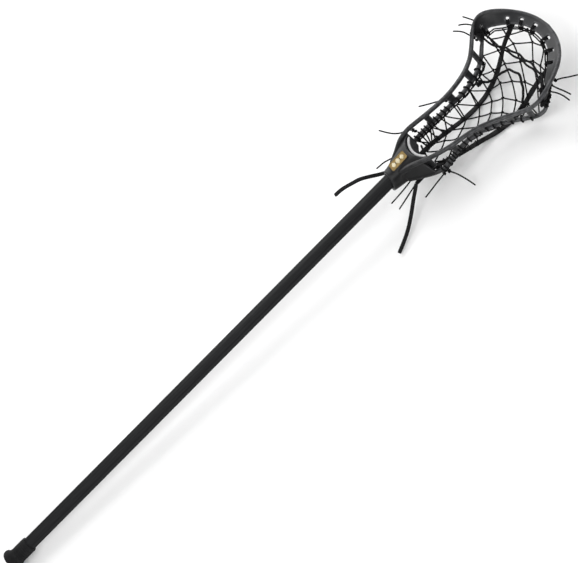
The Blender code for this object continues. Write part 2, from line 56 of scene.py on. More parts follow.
LENGTH = 1090.0                 # butt to scoop tip
SHAFT_FLATS = 20.0
SHAFT_WALL = 1.6
SHAFT_START = 6.0
SHAFT_END = 822.0
CAP_FLANGE_RADIUS = 17.3
CAP_SLEEVE_RADIUS = 12.2
CAP_LENGTH = 41.0
COLLAR_START = 776.0
SCREW_X = 789.0
SCREW_SEAT_Z = -14.4
SCREW_SHANK_RADIUS = 1.75
SCREW_HEAD_RADIUS = 3.7
BALL_STOP_X = 868.0
BALL_STOP_RADIUS = 36.0
RAIL_HEIGHT = 6.5
RAIL_THICKNESS = 5.6
THONG_WIDTH = 7.5
THONG_THICKNESS = 3.0
LACE_RADIUS = 1.05
STRING_RADIUS = 1.35
TAIL_RADIUS = 1.0
THONG_TAIL_WIDTH = 5.6
THONG_TAIL_SECTION = (THONG_TAIL_WIDTH, 2.4, Vector((0.35, 0.75, 0.4)))     # width, thickness, across
TAIL_FRAY = 1.08                # how much a loose end swells
GAP = 0.35
SQUARE = ((-1, -1), (1, -1), (1, 1), (-1, 1))

# One side of the head, from the throat to the tip of the scoop: top rail and bottom rail, paired by station
TOP_RAIL = [
    (800, 10, 12.5), (815, 16.5, 15), (832, 26.5, 17), (848, 33, 14.5), (864, 36, 10), (880, 38, 5.5),
    (900, 39.5, 1.5), (920, 42.3, -2.5), (940, 48.5, -6.8), (960, 57.5, -10.8), (978, 68.5, -12),
    (992, 79, -8.5), (1004, 87, -1.5), (1014, 91.5, 5), (1024, 93.5, 10), (1035, 92, 11.5),
    (1047, 85.5, 9.5), (1059, 75, 5), (1070, 61.5, 0), (1080, 44, -4), (1087, 23, -6.5), (LENGTH, 0, -7)]
BOTTOM_RAIL = [
    (798, 14, -10), (818, 25, -16), (836, 34, -21), (850, 38.5, -23), (864, 37.5, -22), (880, 35, -20),
    (900, 34, -20.5), (920, 36, -24), (940, 41, -29.5), (960, 51, -36), (976, 62.5, -40.5),
    (990, 74, -40.5), (1002, 82.5, -34.5), (1012, 84.5, -25), (1020, 82, -15), (1028, 75, -6),
    (1037, 66, -4), (1047, 56, -4), (1056, 45.5, -4.5), (1064, 32, -5.5), (1069, 16, -6.5), (1070.5, 0, -7)]
WINDOWS = [(2.2, 4.75), (5.25, 6.85), (7.4, 8.85), (9.35, 10.45), (10.95, 12.3)]
STRING_HOLES = [(14.05, 14.4), (17.25, 17.6), (18.6, 18.95), (19.9, 20.3)]
WALL_START = 0.3
WALL_END = 21.0
HOLE_ROWS = (0.24, 0.50)        # the string holes' edges, as shares of the scoop's width from its inner edge
THONG = [
    (1057, 55, -12.5), (1048, 51.5, -13.5), (1037, 48.5, -16.5), (1024, 45.5, -22.5), (1011, 42, -31),
    (1000, 39.5, -38), (985, 37.5, -47), (967, 35, -53), (950, 32, -55), (930, 29, -53), (910, 26, -48),
    (890, 24.5, -42), (868, 22.5, -35), (852, 20, -29.5), (838, 17, -26.5), (826, 15, -25.5)]
V_STRING = [
    (966, 45), (976, 36), (988, 28), (1000, 19), (1008, 7), (1012, -7), (1010, -20), (1002, -31), (992, -39),
    (984, -44)]
SHOOTING_STRING = [
    (1012, 77), (1017, 51), (1022.5, 29), (1026.5, 10), (1029, -8), (1030.5, -26), (1030, -44), (1026, -62),
    (1020, -76)]
LACE_TAILS = {
    "tail_scoop_left_a": [(1004, 93, -16), (1002, 94, -8), (1000, 96.5, 0), (996, 101, 5), (989.5, 107.5, 8)],
    "tail_scoop_left_b": [(1016, 97.5, -10), (1014, 98.5, -1), (1010, 99, 7), (1005.5, 99, 13), (1001, 98.5, 18)],
    "tail_scoop_left_c": [(1024, 98.5, -12), (1022, 99.5, -3), (1019, 101, 6), (1016, 104, 12), (1013.5, 107.5, 15)],
    "tail_wall_left_a": [(853, 42.5, -7), (848, 43, 1), (839, 42.5, 7), (829.5, 49, 13), (819.5, 66, 17.5)],
    "tail_wall_left_b": [(912, 47, -13), (905, 48, -7), (894, 51.5, -1.5), (882, 59.5, 0.5)],
    "tail_badge_side": [(812, 24.2, 0), (806.5, 24.5, 2.5), (799, 25, 5.5), (792, 25.5, 7.5), (780.5, 26.5, 7.5)],
    "tail_throat_a": [(804, -8, -22), (790, -10, -22.5), (775, -12, -22), (761, -14, -21)],
    "tail_throat_b": [(810, -16, -24), (796, -20, -24), (780, -24.5, -24), (764, -29, -24)],
    "tail_wall_right_low": [(843, -38, -28), (829, -39.5, -28.5), (815, -41.5, -29), (802, -44, -28.5)],
    "tail_wall_right_drop": [(852, -42, -29), (857, -53, -32), (861, -66, -38), (864, -79.5, -44)],
    "tail_scoop_right_a": [(1043, -73, -15), (1050, -78.5, -14), (1058, -85, -15), (1069, -91.5, -18)],
    "tail_scoop_right_b": [(1026, -77, -17.5), (1031.5, -85, -21), (1035, -94, -25), (1036.5, -104, -29)],
    "tail_scoop_right_c": [(1034, -75, -14.5), (1036.5, -84, -16), (1040, -93, -18.5), (1043.5, -104, -22)],
}
THONG_TAILS = {
    "tail_thong_left": [(803, 24, -16), (795, 23.5, -13), (786, 24.5, -10), (776, 27.5, -5), (766, 30.5, 1.5),
                        (753.5, 34.5, 8), (741, 38.5, 9.5), (725, 45, 8.5), (711, 49, 5.5)],
    "tail_thong_right": [(806, -21.5, -19.5), (799, -26, -22.5), (788, -31.5, -27.5), (768, -45, -34.5),
                         (747.5, -58.5, -38.5), (722, -70.5, -42)],
}


# --- curves ---

def spline_point(points, station):
    """Point of a Catmull-Rom curve through the list, at a station counted in points."""
    last = len(points) - 1
    index = min(int(station), last - 1)
    part = station - index
    before, start, end, after = (Vector(points[max(0, min(last, index + k))]) for k in (-1, 0, 1, 2))
    return 0.5 * (2 * start + (end - before) * part + (2 * before - 5 * start + 4 * end - after) * part ** 2
                  + (3 * start - before - 3 * end + after) * part ** 3)


def spline(points, per_span):
    count = (len(points) - 1) * per_span
    return [spline_point(points, k / per_span) for k in range(count + 1)]


def mirrored(points):
    return [(x, -y, z) for x, y, z in points]


def evenly(route, step, closed=False):
    """The route again, with points about step apart, and how far along each one is."""
    route = [Vector(p) for p in route]
    if closed:
        route.append(route[0])
    along = [0.0]
    for start, end in zip(route, route[1:]):
        along.append(along[-1] + (end - start).length)
    count = max(2, ceil(along[-1] / step))
    points, places, span = [], [], 0
    for k in range(count + (0 if closed else 1)):
        place = along[-1] * k / count
        while span < len(route) - 2 and along[span + 1] < place:
            span += 1
        part = (place - along[span]) / max(along[span + 1] - along[span], 1e-9)
        points.append(route[span].lerp(route[span + 1], min(part, 1.0)))
        places.append(place)
    return points, places


def carried(points, closed=False):
    """Two directions across the route at every point, turned as little as possible along it."""
    last = len(points) - 1
    found, side = [], None
    for k in range(len(points)):
        before = points[k - 1] if closed else points[max(k - 1, 0)]
        after = points[(k + 1) % len(points)] if closed else points[min(k + 1, last)]
        ahead = (after - before).normalized()
        if side is None:
            side = ahead.cross(Vector((0.31, 0.27, 0.91)))
        side = (side - ahead * side.dot(ahead)).normalized()
        found.append((side.copy(), ahead.cross(side)))
    return found


def bisected(below, low, high):
    """The value between low and high where below(value) stops being true."""
    for _ in range(30):
        middle = (low + high) / 2
        if below(middle):
            low = middle
        else:
            high = middle
    return low


def station_at(x):
    """The bottom rail's station at X, in the stretch where X grows along it."""
    return bisected(lambda station: spline_point(BOTTOM_RAIL, station).x < x, 2.0, 14.0)


def bottom_rail_at(x):
    return spline_point(BOTTOM_RAIL, station_at(x))


def thong_at(x):
    """Half spacing and height of the thongs at X."""
    point = spline_point(THONG, bisected(lambda station: spline_point(THONG, station).x > x, 0.0, len(THONG) - 1.0))
    return point.y, point.z


def circle(count, start=0.0):
    """Cosines and sines of evenly spread turns."""
    turns = [2 * pi * (k + start) / count for k in range(count)]
    return [(cos(turn), sin(turn)) for turn in turns]


def squared(value, power):
    """The size to a power with the sign kept, which squares off a circle."""
    return abs(value) ** power * (1 if value > 0 else -1)


def ease(value, low, high):
    part = min(max((value - low) / (high - low), 0.0), 1.0)
    return part * part * (3 - 2 * part)


def pocket_height(x, y):
    """Height of the lacing's surface: level between the thongs, then rising to the bottom rail."""
    spread, depth = thong_at(min(x, 1048.0))
    rail = bottom_rail_at(min(x, 1026.0))
    if abs(y) <= spread:
        return depth
    part = min((abs(y) - spread) / max(rail.y - spread, 1.0), 1.0)
    return depth + (rail.z - RAIL_HEIGHT / 2 - depth) * part ** 1.3


# --- meshes ---

class Build:
    """Points, faces and UV corners gathered for one mesh. U is millimetres along a cord, V its turn."""

    def __init__(self):
        self.points = []
        self.faces = []
        self.corners = []

    def rings(self, rings, along, closed=False):
        first, size, count = len(self.points), len(rings[0]), len(rings)
        for ring in rings:
            self.points += ring
        step = along[1] - along[0]
        for r in range(count if closed else count - 1):
            after_ring = (r + 1) % count
            for k in range(size):
                after = (k + 1) % size
                self.faces.append((first + r * size + k, first + r * size + after,
                                   first + after_ring * size + after, first + after_ring * size + k))
                low, high = along[r], along[r] + step
                self.corners += [(low, k / size), (low, (k + 1) / size), (high, (k + 1) / size), (high, k / size)]
        if not closed:
            for r in (0, count - 1):
                self.faces.append(tuple(first + r * size + k for k in range(size)))
                self.corners += [(along[r], k / size) for k in range(size)]

    def loft(self, rings, closed_ends=True):
        """Skins a stack of rings, with no UV map to speak of."""
        self.points = [point for ring in rings for point in ring]
        self.faces = loft_faces(len(rings), len(rings[0]), closed_ends)
        self.corners = [(0.0, 0.0)] * sum(len(face) for face in self.faces)

    def tube(self, route, radius, sides=10, braid=0.07, step=0.9, closed=False, pitch=3.2):
        """A round braided cord with closed, rounded ends."""
        points, along = evenly(route, step, closed)
        frames = carried(points, closed)
        last = len(points) - 1
        rings = []
        for k, (point, (side, up)) in enumerate(zip(points, frames)):
            end = min(k, last - k)
            grown = 1.0 if closed else (0.45, 0.85, 1.0)[min(end, 2)]
            ring = []
            for j in range(sides):
                turn = 2 * pi * j / sides
                wound = 2 * pi * along[k] / pitch
                plait = 1 + braid * cos(3 * turn + wound) * cos(3 * turn - wound)
                ring.append(point + (side * cos(turn) + up * sin(turn)) * radius * grown * plait)
            rings.append(ring)
        self.rings(rings, along, closed)

    def strap(self, route, width, thickness, flat, waver):
        """A flat strap with rounded edges; flat is the direction across its width."""
        points, along = evenly(route, 1.6)
        last = len(points) - 1
        section = []
        corner = thickness * 0.32
        for cx, cy, first in ((1, 1, 0), (-1, 1, 90), (-1, -1, 180), (1, -1, 270)):
            for k in range(4):
                turn = radians(first + 30 * k)
                section.append((cx * (width / 2 - corner) + corner * cos(turn),
                                cy * (thickness / 2 - corner) + corner * sin(turn)))
        rings = []
        for k, point in enumerate(points):
            ahead = points[min(k + 1, last)] - points[max(k - 1, 0)]
            side = (flat - ahead * (flat.dot(ahead) / ahead.length_squared)).normalized()
            up = ahead.cross(side).normalized()
            grown = (0.86, 0.97, 1.0)[min(k, last - k, 2)]
            swell = 1 + waver * noise.noise(point * 0.07)
            rings.append([point + side * a * grown * swell + up * b * grown for a, b in section])
        self.rings(rings, along)

    def knot(self, centre, size, facing=(0.2, 0.1, 1.0), radius=0.85):
        """A trefoil of lace pulled tight."""
        turn = Vector(facing).to_track_quat("Z", "Y")
        route = []
        for k in range(36):
            t = 2 * pi * k / 36
            point = Vector((sin(t) + 2 * sin(2 * t), cos(t) - 2 * cos(2 * t), -1.4 * sin(3 * t))) / 3
            route.append(Vector(centre) + turn @ (point * size))
        self.tube(route, radius, 6, 0.0, 0.9, closed=True)

    def lace(self, route, step, grow=1.0, closed=False):
        self.tube(route, LACE_RADIUS * grow, 8, 0.05, step, closed)

    def piece(self, name, finish, replaced=(), body="stick", sharp=None):
        made = raw_mesh(name, self.points, self.faces, self.corners)
        made.shade_smooth()
        if sharp:
            made.set_sharp_from_angle(angle=radians(sharp))
        return show(name, made, finish, replaced, body)


def show(name, mesh, finish, replaced=(), body="stick"):
    """One shown piece, on its body, in place of its solids."""
    item = placed(name, mesh)
    mesh.materials.clear()
    mesh.materials.append(finish)
    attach(item, body)
    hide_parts(*replaced)
    return item


def raw_mesh(name, points, faces, corners=()):
    """A mesh in the row frame with its normals outwards."""
    made = bpy.data.meshes.new(name)
    made.from_pydata([STICK @ Vector(p) for p in points], [], faces)
    if corners:
        for loop, corner in zip(made.uv_layers.new(name="UVMap").data, corners):
            loop.uv = corner
    tidy = bmesh.new()
    tidy.from_mesh(made)
    bmesh.ops.recalc_face_normals(tidy, faces=tidy.faces)
    tidy.to_mesh(made)
    tidy.free()
    return made


def placed(name, data):
    """A new object in the scene."""
    item = bpy.data.objects.new(name, data)
    bpy.context.collection.objects.link(item)
    return item


def lofted(name, rings):
    """A closed helper skinned over a stack of rings, for a union or a cut."""
    points = [point for ring in rings for point in ring]
    return placed(name, raw_mesh(name, points, loft_faces(len(rings), len(rings[0]))))


def loft_faces(rings, size, closed_ends=True):
    faces = []
    for ring in range(rings - 1):
        for k in range(size):
            after = (k + 1) % size
            faces.append((ring * size + k, ring * size + after, (ring + 1) * size + after, (ring + 1) * size + k))
    if closed_ends:
        faces.append(tuple(range(size)))
        faces.append(tuple((rings - 1) * size + k for k in range(size)))
    return faces


def evaluated_mesh(item):
    graph = bpy.context.evaluated_depsgraph_get()
    return bpy.data.meshes.new_from_object(item.evaluated_get(graph))


def cut(item, *cutters):
    """The item's mesh with every cutter taken out of it; the cutters are removed."""
    for cutter in cutters:
        taken = item.modifiers.new("cut", "BOOLEAN")
        taken.operation = "DIFFERENCE"
        taken.solver = "EXACT"
        taken.object = cutter
    made = evaluated_mesh(item)
    item.modifiers.clear()
    item.data = made
    for cutter in cutters:
        bpy.data.objects.remove(cutter, do_unlink=True)
    return item


def upright_cylinder(name, x, radius, low, high, sides):
    return lofted(name, [[(x + radius * a, radius * b, z) for a, b in circle(sides)] for z in (low, high)])


# --- materials ---

class Finish:
    """A node material with small helpers; textures read the object's own coordinates, in metres."""

    def __init__(self, name, colour, roughness, metallic=0.0, **sockets):
        self.material = bpy.data.materials.new(name)
        self.material.use_nodes = True
        self.nodes = self.material.node_tree.nodes
        self.links = self.material.node_tree.links
        self.shader = self.nodes["Principled BSDF"]
        self.shader.inputs["Base Color"].default_value = (*colour, 1.0)
        self.shader.inputs["Roughness"].default_value = roughness
        self.shader.inputs["Metallic"].default_value = metallic
        for socket, value in sockets.items():
            self.shader.inputs[socket.replace("_", " ")].default_value = value
        self.place = self.nodes.new("ShaderNodeTexCoord")

    def node(self, kind, inputs, output, **settings):
        """Makes a node, sets or links the given inputs, and gives back one output."""
        made = self.nodes.new("ShaderNode" + kind)
        for name, value in settings.items():
            setattr(made, name, value)
        for socket, value in inputs.items():
            if isinstance(value, bpy.types.NodeSocket):
                self.links.new(value, made.inputs[socket])
            else:
                made.inputs[socket].default_value = value
        return made.outputs[output]

    def scaled(self, scale):
        scale = scale if hasattr(scale, "__len__") else (scale, scale, scale)
        return self.node("Mapping", {"Scale": scale, "Vector": self.place.outputs["Object"]}, "Vector")

    def noise(self, scale, detail, roughness=0.55):
        inputs = {"Scale": 1.0, "Detail": detail, "Roughness": roughness, "Vector": self.scaled(scale)}
        return self.node("TexNoise", inputs, "Fac")

    def cells(self, scale, feature="F1"):
        return self.node("TexVoronoi", {"Scale": 1.0, "Vector": self.scaled(scale)}, "Distance", feature=feature)

    def ramp(self, source, stops):
        """A colour ramp; stops are (place, colour) with three numbers or one grey."""
        made = self.nodes.new("ShaderNodeValToRGB")
        elements = made.color_ramp.elements
        while len(elements) < len(stops):
            elements.new(0.5)
        for element, (place, colour) in zip(elements, stops):
            element.position = place
            element.color = (*colour, 1.0) if hasattr(colour, "__len__") else (colour, colour, colour, 1.0)
        self.links.new(source, made.inputs["Fac"])
        return made.outputs["Color"]

    def mottled(self, scale, detail, *stops, roughness=0.55):
        """Noise through a colour ramp."""
        return self.ramp(self.noise(scale, detail, roughness), stops)

    def mix(self, kind, first, second):
        return self.node("MixRGB", {"Fac": 1.0, "Color1": first, "Color2": second}, "Color", blend_type=kind)

    def maths(self, kind, first, second=0.0):
        return self.node("Math", {0: first, 1: second}, "Value", operation=kind)

    def colour(self, source):
        self.links.new(source, self.shader.inputs["Base Color"])

    def rough(self, source):
        self.links.new(source, self.shader.inputs["Roughness"])

    def bump(self, source, strength, distance):
        inputs = {"Strength": strength, "Distance": distance, "Height": source}
        if self.shader.inputs["Normal"].is_linked:
            inputs["Normal"] = self.shader.inputs["Normal"].links[0].from_socket
        self.links.new(self.node("Bump", inputs, "Normal"), self.shader.inputs["Normal"])


def moulded_plastic():
    """Satin charcoal nylon: fine mould grain, soft cloudy tone, painted sheen that lightens the sharp edges, and
    painted shade that darkens the throat.
    """
    made = Finish("head_plastic", (0.018, 0.0185, 0.020), 0.36, Specular_IOR_Level=0.22)
    cloud = made.mottled(22, 3.0, (0.30, (0.007, 0.0073, 0.008)), (0.72, (0.017, 0.0175, 0.019)))
    # Painted sheen: the sharp edges found by Pointiness are lightened with a mottled pale grey, standing in for
    # highlights on the rails.
    edge = made.ramp(made.node("NewGeometry", {}, "Pointiness"), [(0.500, 0.0), (0.525, 1.0)])
    painted_edge_sheen = made.mottled(160, 5.0, (0.34, (0.020, 0.020, 0.021)), (0.66, (0.095, 0.096, 0.100)))
    # Painted shade: below X = 0.28 m in object coordinates the colour is darkened to 0.35 of itself, easing back to
    # full by X = 0.33 m, to darken the throat.
    forward = made.node("SeparateXYZ", {"Vector": made.place.outputs["Object"]}, "X")
    throat = made.ramp(made.maths("MULTIPLY", forward, 2.0), [(0.56, 0.35), (0.66, 1.0)])
    shade = made.mix("ADD", cloud, made.mix("MULTIPLY", painted_edge_sheen, edge))
    made.colour(made.mix("MULTIPLY", shade, throat))
    made.rough(made.mottled(60, 4.0, (0.25, 0.28), (0.80, 0.44)))
    made.bump(made.noise(1500, 2.0), 0.22, 0.00012)
    made.bump(made.noise(120, 2.0), 0.10, 0.0006)
    return made.material


def finished(made, colour, rough, bump, strength, distance):
    """Completes a finish from one colour, one roughness and one bump."""
    made.colour(colour)
    made.rough(rough)
    made.bump(bump, strength, distance)
    return made.material


def shaft_alloy():
    """Dark anodised tube with drawing lines along it and small rubbed marks."""
    made = Finish("shaft", (0.011, 0.011, 0.012), 0.46, 0.2, Specular_IOR_Level=0.12)
    lines = made.mottled((9, 1100, 1100), 5.0, (0.25, (0.007, 0.007, 0.0076)), (0.75, (0.016, 0.0165, 0.0175)),
                         roughness=0.6)
    marks = made.mottled((35, 520, 520), 6.0, (0.63, 0.0), (0.70, (0.026, 0.026, 0.027)), roughness=0.7)
    patches = made.mottled((18, 30, 30), 2.0, (0.45, 0.0), (0.75, 1.0))
    return finished(made, made.mix("ADD", lines, made.mix("MULTIPLY", marks, patches)),
                    made.mottled((14, 700, 700), 4.0, (0.25, 0.34), (0.80, 0.52)),
                    made.noise((12, 1600, 1600), 3.0), 0.25, 0.00006)


def cap_rubber():
    """Matte rubber with a fine pebbled surface and a dusty bloom."""
    made = Finish("rubber", (0.012, 0.012, 0.013), 0.72, Specular_IOR_Level=0.12, Sheen_Weight=0.02,
                  Sheen_Roughness=0.5)
    colour = made.mottled(110, 5.0, (0.30, (0.006, 0.006, 0.0065)), (0.55, (0.011, 0.011, 0.0115)),
                          (0.78, (0.026, 0.026, 0.027)), roughness=0.65)
    return finished(made, colour, made.mottled(80, 3.0, (0.3, 0.62), (0.8, 0.86)), made.cells(1300), 0.35, 0.00010)


def black_steel():
    """Dark turned steel with fine machining lines."""
    made = Finish("steel", (0.30, 0.30, 0.31), 0.35, 1.0)
    return finished(made, made.mottled(500, 4.0, (0.3, (0.13, 0.13, 0.14)), (0.75, (0.28, 0.28, 0.29))),
                    made.mottled((900, 900, 140), 4.0, (0.3, 0.26), (0.75, 0.48)),
                    made.noise((1800, 1800, 300), 2.0), 0.2, 0.00004)


def brushed_gold():
    """Dull gold, brushed along the stick."""
    made = Finish("gold", (0.42, 0.29, 0.10), 0.42, 0.8)
    brushed = ((0.25, (0.07, 0.045, 0.013)), (0.75, (0.19, 0.13, 0.045)))
    return finished(made, made.mottled((60, 1400, 1400), 4.0, *brushed, roughness=0.6),
                    made.mottled((40, 1000, 1000), 4.0, (0.25, 0.26), (0.8, 0.46)),
                    made.noise((50, 2200, 2200), 2.0), 0.25, 0.00003)


def cream_enamel():
    """Slightly uneven cream enamel."""
    made = Finish("cream_enamel", (0.62, 0.55, 0.36), 0.34, Coat_Weight=0.2, Coat_Roughness=0.15)
    return finished(made, made.mottled(260, 3.0, (0.3, (0.42, 0.35, 0.19)), (0.75, (0.62, 0.56, 0.38))),
                    made.mottled(300, 3.0, (0.3, 0.22), (0.8, 0.40)), made.noise(500, 2.0), 0.15, 0.00005)


FOAM_PALE_HEIGHT = 0.0604       # metres above the floor where the pad's pale grey top starts


def closed_cell_foam():
    """Dark foam with a fine cell texture, turning pale grey above a set height near its top edge."""
    made = Finish("foam", (0.06, 0.06, 0.065), 0.9, Specular_IOR_Level=0.2)
    body = made.mottled(240, 4.0, (0.3, (0.030, 0.030, 0.032)), (0.75, (0.060, 0.060, 0.064)))
    # The pad is coloured pale grey above a set height, along its top edge.
    pale_top = made.mottled(420, 4.0, (0.3, 0.38), (0.75, 0.62))
    height = made.node("SeparateXYZ", {"Vector": made.place.outputs["Object"]}, "Z")
    high = made.maths("MULTIPLY", made.maths("SUBTRACT", height, FOAM_PALE_HEIGHT), 700.0)
    colour = made.mix("ADD", body, made.mix("MULTIPLY", pale_top, made.ramp(high, [(0.0, 0.0), (1.0, 1.0)])))
    return finished(made, colour, made.mottled(500, 2.0, (0.3, 0.82), (0.8, 0.96)), made.cells(900), 0.5, 0.00025)


def strap_leather():
    """Black strap leather: creased grain and slightly greyer, rubbed high spots."""
    made = Finish("thong", (0.012, 0.012, 0.013), 0.62, Specular_IOR_Level=0.14)
    grain = made.cells(620, "SMOOTH_F1")
    base = made.mottled(90, 4.0, (0.3, (0.005, 0.005, 0.0055)), (0.8, (0.011, 0.011, 0.0115)))
    colour = made.mix("ADD", base, made.ramp(grain, [(0.0, 0.006), (0.35, 0.0)]))
    return finished(made, colour, made.mottled(200, 4.0, (0.3, 0.48), (0.8, 0.74)), grain, 0.45, 0.00025)


def braided(name, dark, light, roughness):
    """Plaited cord: two families of strands that cross, read from the cord's own UV map."""
    made = Finish(name, dark, roughness, Specular_IOR_Level=0.12)
    along, turn = (made.node("SeparateXYZ", {"Vector": made.place.outputs["UV"]}, axis) for axis in "XY")
    strands = []
    for way in (1, -1):
        phase = made.maths("ADD", made.maths("MULTIPLY", along, 2 * pi / 1.6),
                           made.maths("MULTIPLY", turn, way * 8 * pi))
        strands.append(made.maths("ABSOLUTE", made.maths("SINE", phase)))
    weave = made.maths("MAXIMUM", *strands)
    fuzz = made.mottled(900, 3.0, (0.3, 0.55), (0.75, 1.0))
    rough = made.mottled(700, 2.0, (0.3, roughness - 0.10), (0.8, roughness + 0.15))
    # Painted shade and sheen: the colour runs from dark in the grooves between strands to light on the strands'
    # crowns, following the weave that also drives the bump.
    return finished(made, made.mix("MULTIPLY", made.ramp(weave, [(0.60, dark), (1.0, light)]), fuzz), rough,
                    weave, 0.55, 0.00018)


def pale_floor():
    made = Finish("floor", (0.90, 0.90, 0.90), 0.75, Specular_IOR_Level=0.2)
    made.colour(made.mottled(3, 2.0, (0.3, 0.90), (0.8, 0.925)))
    return made.material


# --- camera and studio ---

CAMERA_TILT = radians(48.0)     # between the line of sight and the plane of the head
CAMERA_YAW = radians(9.0)
CAMERA_ROLL = radians(45.24)
CAMERA_DISTANCE = 3.0
CAMERA_LENS = 132.6
CAMERA_AIM = 0.5818             # metres along the stick
CAMERA_RISE = 0.0007            # metres that the aim lies above the stick's axis, in the picture
FLOOR_REACH = 8.0
FLOOR_DROP = 0.0005             # metres, so that the floor and the pocket never share a plane
WORLD_LIGHT = 0.58
LAMPS = [("key", (-0.7, -1.1, 2.2), 1.8, 30.0, (0.2, 0.0, 0.0)),
         ("fill", (1.6, 0.9, 1.9), 2.2, 8.0, (0.2, 0.0, 0.0)),
         ("rim", (0.2, 1.8, 1.2), 1.9, 36.0, (0.3, 0.0, 0.0))]     # name, place, size, watts and aim


def make_camera():
    """Looks down on the stick from its right side, rolled so that it lies from corner to corner."""
    s, c = sin(CAMERA_YAW), cos(CAMERA_YAW)
    across = Vector((c, s * cos(CAMERA_TILT), -s * sin(CAMERA_TILT)))
    down = Vector((0.0, -sin(CAMERA_TILT), -cos(CAMERA_TILT)))
    sight = across.cross(down)
    picture_right = across * cos(CAMERA_ROLL) + down * sin(CAMERA_ROLL)
    picture_down = down * cos(CAMERA_ROLL) - across * sin(CAMERA_ROLL)
    lens = bpy.data.cameras.new("camera")
    lens.sensor_width = 36.0
    lens.lens = CAMERA_LENS
    lens.clip_end = 50.0
    camera = placed("camera", lens)
    aim = Vector((CAMERA_AIM, 0.0, 0.0)) - down * CAMERA_RISE
    turn = Matrix((picture_right, -picture_down, -sight)).transposed().to_4x4()
    camera.matrix_world = STICK_METRES @ Matrix.Translation(aim - sight * CAMERA_DISTANCE) @ turn
    bpy.context.scene.camera = camera


def make_studio():
    floor_mesh = bpy.data.meshes.new("floor")
    corners = [(FLOOR_REACH * a, FLOOR_REACH * b, 0) for a, b in SQUARE]
    floor_mesh.from_pydata(corners, [], [(0, 1, 2, 3)])
    floor_mesh.materials.append(pale_floor())
    floor = placed("floor", floor_mesh)
    floor.location.z = -FLOOR_DROP
    for name, place, size, power, aim in LAMPS:
        lamp = bpy.data.lights.new(name, "AREA")
        lamp.size = size
        lamp.energy = power
        light = placed(name, lamp)
        light.location = place
        light.rotation_euler = (Vector(aim) - Vector(place)).to_track_quat("-Z", "Y").to_euler()
    world = bpy.data.worlds.new("studio")
    bpy.context.scene.world = world
    world.use_nodes = True
    world.node_tree.nodes["Background"].inputs["Color"].default_value = (1.0, 1.0, 1.0, 1.0)
    world.node_tree.nodes["Background"].inputs["Strength"].default_value = WORLD_LIGHT
    bpy.context.scene.view_settings.view_transform = "Standard"


# --- free cords ---

def make_tails(string, leather):
    """Every free end as a cord, along the same route as its solid."""
    for name, points in {**LACE_TAILS, **THONG_TAILS}.items():
        flat = name in THONG_TAILS
        route = spline(points, 3)
        build = Build()
        if flat:
            build.strap(route, *THONG_TAIL_SECTION, 0.05)
            tail = build.piece(name + "_cord", leather, (name,), sharp=50)
        else:
            build.tube(route, TAIL_RADIUS * TAIL_FRAY, 10, 0.05, 0.7)
            tail = build.piece(name + "_cord", string, (name,))


# --- shaft, cap and screw ---

def octagon_radius(flats, rounding, turn):
    """Distance from the axis to a rounded octagon's side, at a turn round it."""
    half = flats / 2
    folded = (turn + pi / 8) % (pi / 4) - pi / 8
    straight = half / cos(folded)
    corner = half / cos(pi / 8) - rounding
    return min(straight, corner + (rounding * 0.18) * (1 - abs(folded) / (pi / 8)))


def octagon_ring(x, flats, rounding):
    ring = []
    for k in range(96):
        turn = 2 * pi * (k + 0.5) / 96
        radius = octagon_radius(flats, rounding, turn)
        ring.append((x, radius * cos(turn), radius * sin(turn)))
    return ring


def make_shaft(finish):
    """Hollow tube with rounded corners and chamfered ends."""
    outer, inner = SHAFT_FLATS, SHAFT_FLATS - 2 * SHAFT_WALL
    stops = [(SHAFT_START, inner, 0.2), (SHAFT_START, outer - 0.9, 0.5), (SHAFT_START + 0.5, outer, 0.32)]
    span = SHAFT_END - SHAFT_START
    stops += [(SHAFT_START + span * k / 24, outer, 0.32) for k in range(1, 24)]
    stops += [(SHAFT_END - 0.5, outer, 0.32), (SHAFT_END, outer - 0.9, 0.5), (SHAFT_END, inner, 0.2)]
    rings = [octagon_ring(x, flats, rounding) for x, flats, rounding in stops]
    size, last = len(rings[0]), (len(rings) - 1) * len(rings[0])
    build = Build()
    build.loft(rings, closed_ends=False)
    for k in range(size):
        after = (k + 1) % size
        build.faces.append((last + k, last + after, after, k))
        build.corners += [(0.0, 0.0)] * 4
    build.piece("shaft_tube", finish, ("shaft",), sharp=35)


def make_butt_cap(finish):
    """Rubber cap: ringed end face, round flange, tapered sleeve with grip ribs, and the socket for the shaft."""
    rim, sleeve = CAP_FLANGE_RADIUS, CAP_SLEEVE_RADIUS
    profile = [(1.4, 0.3), (1.4, 5.2), (0.9, 5.8), (0.2, 6.3), (0.2, 8.6), (0.9, 9.2), (0.9, 10.0), (0.1, 10.8),
               (0.0, 12.2), (0.35, 13.8), (1.5, 15.3), (3.4, 16.7), (5.4, 17.25), (7.0, rim), (8.8, 17.0),
               (10.4, 16.1), (11.6, 14.6), (12.5, 13.4), (13.8, 12.75), (15.5, sleeve + 0.35)]
    x = 17.0
    while x < CAP_LENGTH - 5.0:
        profile += [(x, sleeve + 0.2), (x + 0.5, sleeve - 0.35), (x + 1.5, sleeve - 0.35), (x + 2.0, sleeve + 0.2)]
        x += 3.4
    for back, out in ((2.2, 0.1), (0.8, -0.1), (0.15, -0.45), (0.0, -0.8)):
        profile.append((CAP_LENGTH - back, sleeve + out))
    rings = [[(x, radius * a, radius * b) for a, b in circle(96, 0.5)] for x, radius in profile]
    socket = SHAFT_FLATS + 2 * GAP
    floor = SHAFT_START - GAP
    for x in (CAP_LENGTH - 0.3, CAP_LENGTH - 6.0, 24.0, floor):
        rings.append(octagon_ring(x, socket, 0.25))
    rings.append(octagon_ring(floor, 4.0, 0.25))
    build = Build()
    build.loft(rings)
    build.piece("butt_cap_rubber", finish, ("butt_cap",), "cap", sharp=48)


